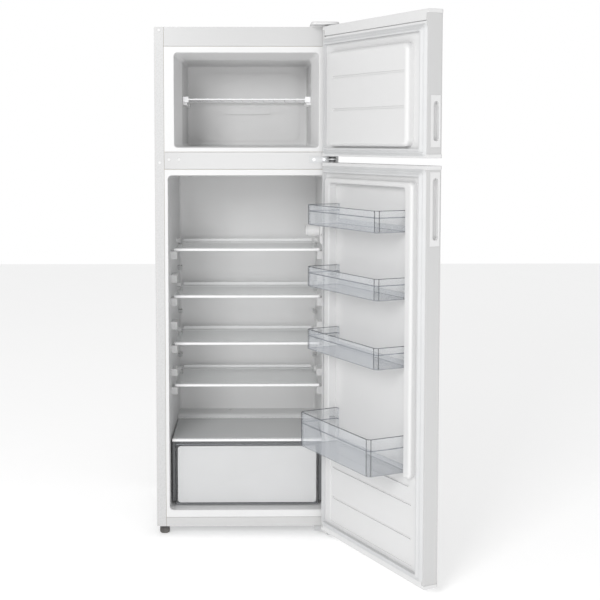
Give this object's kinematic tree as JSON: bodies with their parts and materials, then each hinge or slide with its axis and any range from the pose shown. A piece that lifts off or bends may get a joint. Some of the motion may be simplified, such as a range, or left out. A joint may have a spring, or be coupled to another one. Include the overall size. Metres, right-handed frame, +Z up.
{
  "type": "top freezer refrigerator",
  "caption": "Free-standing top freezer refrigerator with both doors open, glass shelves, clear door bins, a crisper drawer, and a thermostat knob.",
  "frame": {"origin": "centre of the underside of the front left foot, on the floor", "axes": "+X to the right seen from the front, +Y to the back, +Z up"},
  "size_m": [0.7753, 1.0156, 1.537],
  "materials": {
    "white_enamel": "gloss white enamel on sheet steel",
    "white_liner": "vacuum formed white sheet, satin gloss",
    "white_plastic": "moulded white plastic",
    "gasket": "soft grey white vinyl",
    "foam": "rigid foam, hidden",
    "glass": "clear toughened glass",
    "clear_plastic": "clear bluish moulding",
    "wire": "white coated steel wire",
    "black_plastic": "matt black plastic",
    "black_metal": "black paint on steel",
    "grey_steel": "galvanised sheet steel",
    "hinge_steel": "light grey paint on steel",
    "screw_steel": "zinc plated steel",
    "aluminium": "plain aluminium sheet",
    "copper": "copper tube",
    "lens": "frosted clear plastic"
  },
  "bodies": {
    "cabinet": {"outer_shell": "white_enamel", "back_panel": "grey_steel", "base_pan": "grey_steel", "top_front_panel": "white_enamel", "mid_rail": "white_enamel", "bottom_front_panel": "white_enamel", "freezer_liner": "white_liner", "fridge_liner": "white_liner", "cabinet_foam": "foam", "freezer_evaporator": "aluminium", "fridge_evaporator": "aluminium", "lamp_housing": "white_plastic", "lamp_lens": "lens", "top_hinge": "hinge_steel", "top_hinge_cover": "white_plastic", "middle_hinge": "hinge_steel", "bottom_hinge": "hinge_steel", "hinge_screws": "screw_steel", "hole_plugs": "white_plastic", "compressor": "black_metal", "relay_box": "black_plastic", "drip_tray": "white_plastic", "condenser": "black_metal", "refrigerant_pipes": "copper", "drain_tube": "white_plastic", "crisper_cover_glass": "glass", "crisper_cover_trim": "white_plastic", "crisper_guides": "black_plastic"},
    "freezer_door": {"freezer_door_skin": "white_enamel", "freezer_door_end_caps": "white_plastic", "freezer_door_liner": "white_liner", "freezer_door_foam": "foam", "freezer_door_gasket": "gasket", "freezer_door_grip": "white_plastic"},
    "fridge_door": {"fridge_door_skin": "white_enamel", "fridge_door_end_caps": "white_plastic", "fridge_door_liner": "white_liner", "fridge_door_foam": "foam", "fridge_door_gasket": "gasket", "fridge_door_grip": "white_plastic"},
    "freezer_shelf_body": {"freezer_shelf": "wire"},
    "crisper": {"crisper_drawer": "clear_plastic"},
    "knob": {"thermostat_knob": "white_plastic"},
    "switch": {"light_switch": "white_plastic"},
    "left_foot": {"front_left_foot": "black_plastic"},
    "right_foot": {"front_right_foot": "black_plastic"},
    "left_roller": {"rear_left_roller": "black_plastic"},
    "right_roller": {"rear_right_roller": "black_plastic"},
    "shelf_1": {"shelf_1_glass": "glass", "shelf_1_trim": "white_plastic"},
    "shelf_2": {"shelf_2_glass": "glass", "shelf_2_trim": "white_plastic"},
    "shelf_3": {"shelf_3_glass": "glass", "shelf_3_trim": "white_plastic"},
    "shelf_4": {"shelf_4_glass": "glass", "shelf_4_trim": "white_plastic"},
    "bin_1": {"door_bin_1": "clear_plastic"},
    "bin_2": {"door_bin_2": "clear_plastic"},
    "bin_3": {"door_bin_3": "clear_plastic"},
    "bottle_bin_body": {"bottle_bin": "clear_plastic"}
  },
  "joints": [
    {"name": "freezer_door_hinge", "type": "hinge", "parent": "cabinet", "child": "freezer_door", "pos_m": [0.5035, -0.064, 1.336], "axis": [0, 0, 1], "range_deg": [-116, 19]},
    {"name": "fridge_door_hinge", "type": "hinge", "parent": "cabinet", "child": "fridge_door", "pos_m": [0.5035, -0.064, 0.575], "axis": [0, 0, 1], "range_deg": [-116, 19]},
    {"name": "crisper_slide", "type": "slide", "parent": "cabinet", "child": "crisper", "axis": [0, -1, 0], "range_m": [0, 0.2]},
    {"name": "freezer_shelf_slide", "type": "slide", "parent": "cabinet", "child": "freezer_shelf_body", "axis": [0, -1, 0], "range_m": [0, 0.12]},
    {"name": "shelf_1_slide", "type": "slide", "parent": "cabinet", "child": "shelf_1", "axis": [0, -1, 0], "range_m": [0, 0.11]},
    {"name": "shelf_2_slide", "type": "slide", "parent": "cabinet", "child": "shelf_2", "axis": [0, -1, 0], "range_m": [0, 0.11]},
    {"name": "shelf_3_slide", "type": "slide", "parent": "cabinet", "child": "shelf_3", "axis": [0, -1, 0], "range_m": [0, 0.11]},
    {"name": "shelf_4_slide", "type": "slide", "parent": "cabinet", "child": "shelf_4", "axis": [0, -1, 0], "range_m": [0, 0.11]},
    {"name": "bin_1_lift", "type": "slide", "parent": "fridge_door", "child": "bin_1", "axis": [0, 0, 1], "range_m": [0, 0.025]},
    {"name": "bin_2_lift", "type": "slide", "parent": "fridge_door", "child": "bin_2", "axis": [0, 0, 1], "range_m": [0, 0.025]},
    {"name": "bin_3_lift", "type": "slide", "parent": "fridge_door", "child": "bin_3", "axis": [0, 0, 1], "range_m": [0, 0.025]},
    {"name": "bottle_bin_lift", "type": "slide", "parent": "fridge_door", "child": "bottle_bin_body", "axis": [0, 0, 1], "range_m": [0, 0.025]},
    {"name": "thermostat_turn", "type": "hinge", "parent": "cabinet", "child": "knob", "pos_m": [0.456, 0.092, 0.916], "axis": [1, 0, 0], "range_deg": [0, 270]},
    {"name": "light_switch_push", "type": "slide", "parent": "cabinet", "child": "switch", "axis": [0, 1, 0], "range_m": [0, 0.006], "stiffness_N_per_m": 100},
    {"name": "left_foot_turn", "type": "hinge", "parent": "cabinet", "child": "left_foot", "pos_m": [0, 0, 0.01], "axis": [0, 0, 1], "continuous": true},
    {"name": "right_foot_turn", "type": "hinge", "parent": "cabinet", "child": "right_foot", "pos_m": [0.502, 0, 0.01], "axis": [0, 0, 1], "continuous": true},
    {"name": "left_roller_turn", "type": "hinge", "parent": "cabinet", "child": "left_roller", "pos_m": [0.021, 0.41, 0.013], "axis": [1, 0, 0], "continuous": true},
    {"name": "right_roller_turn", "type": "hinge", "parent": "cabinet", "child": "right_roller", "pos_m": [0.481, 0.41, 0.013], "axis": [1, 0, 0], "continuous": true}
  ]
}
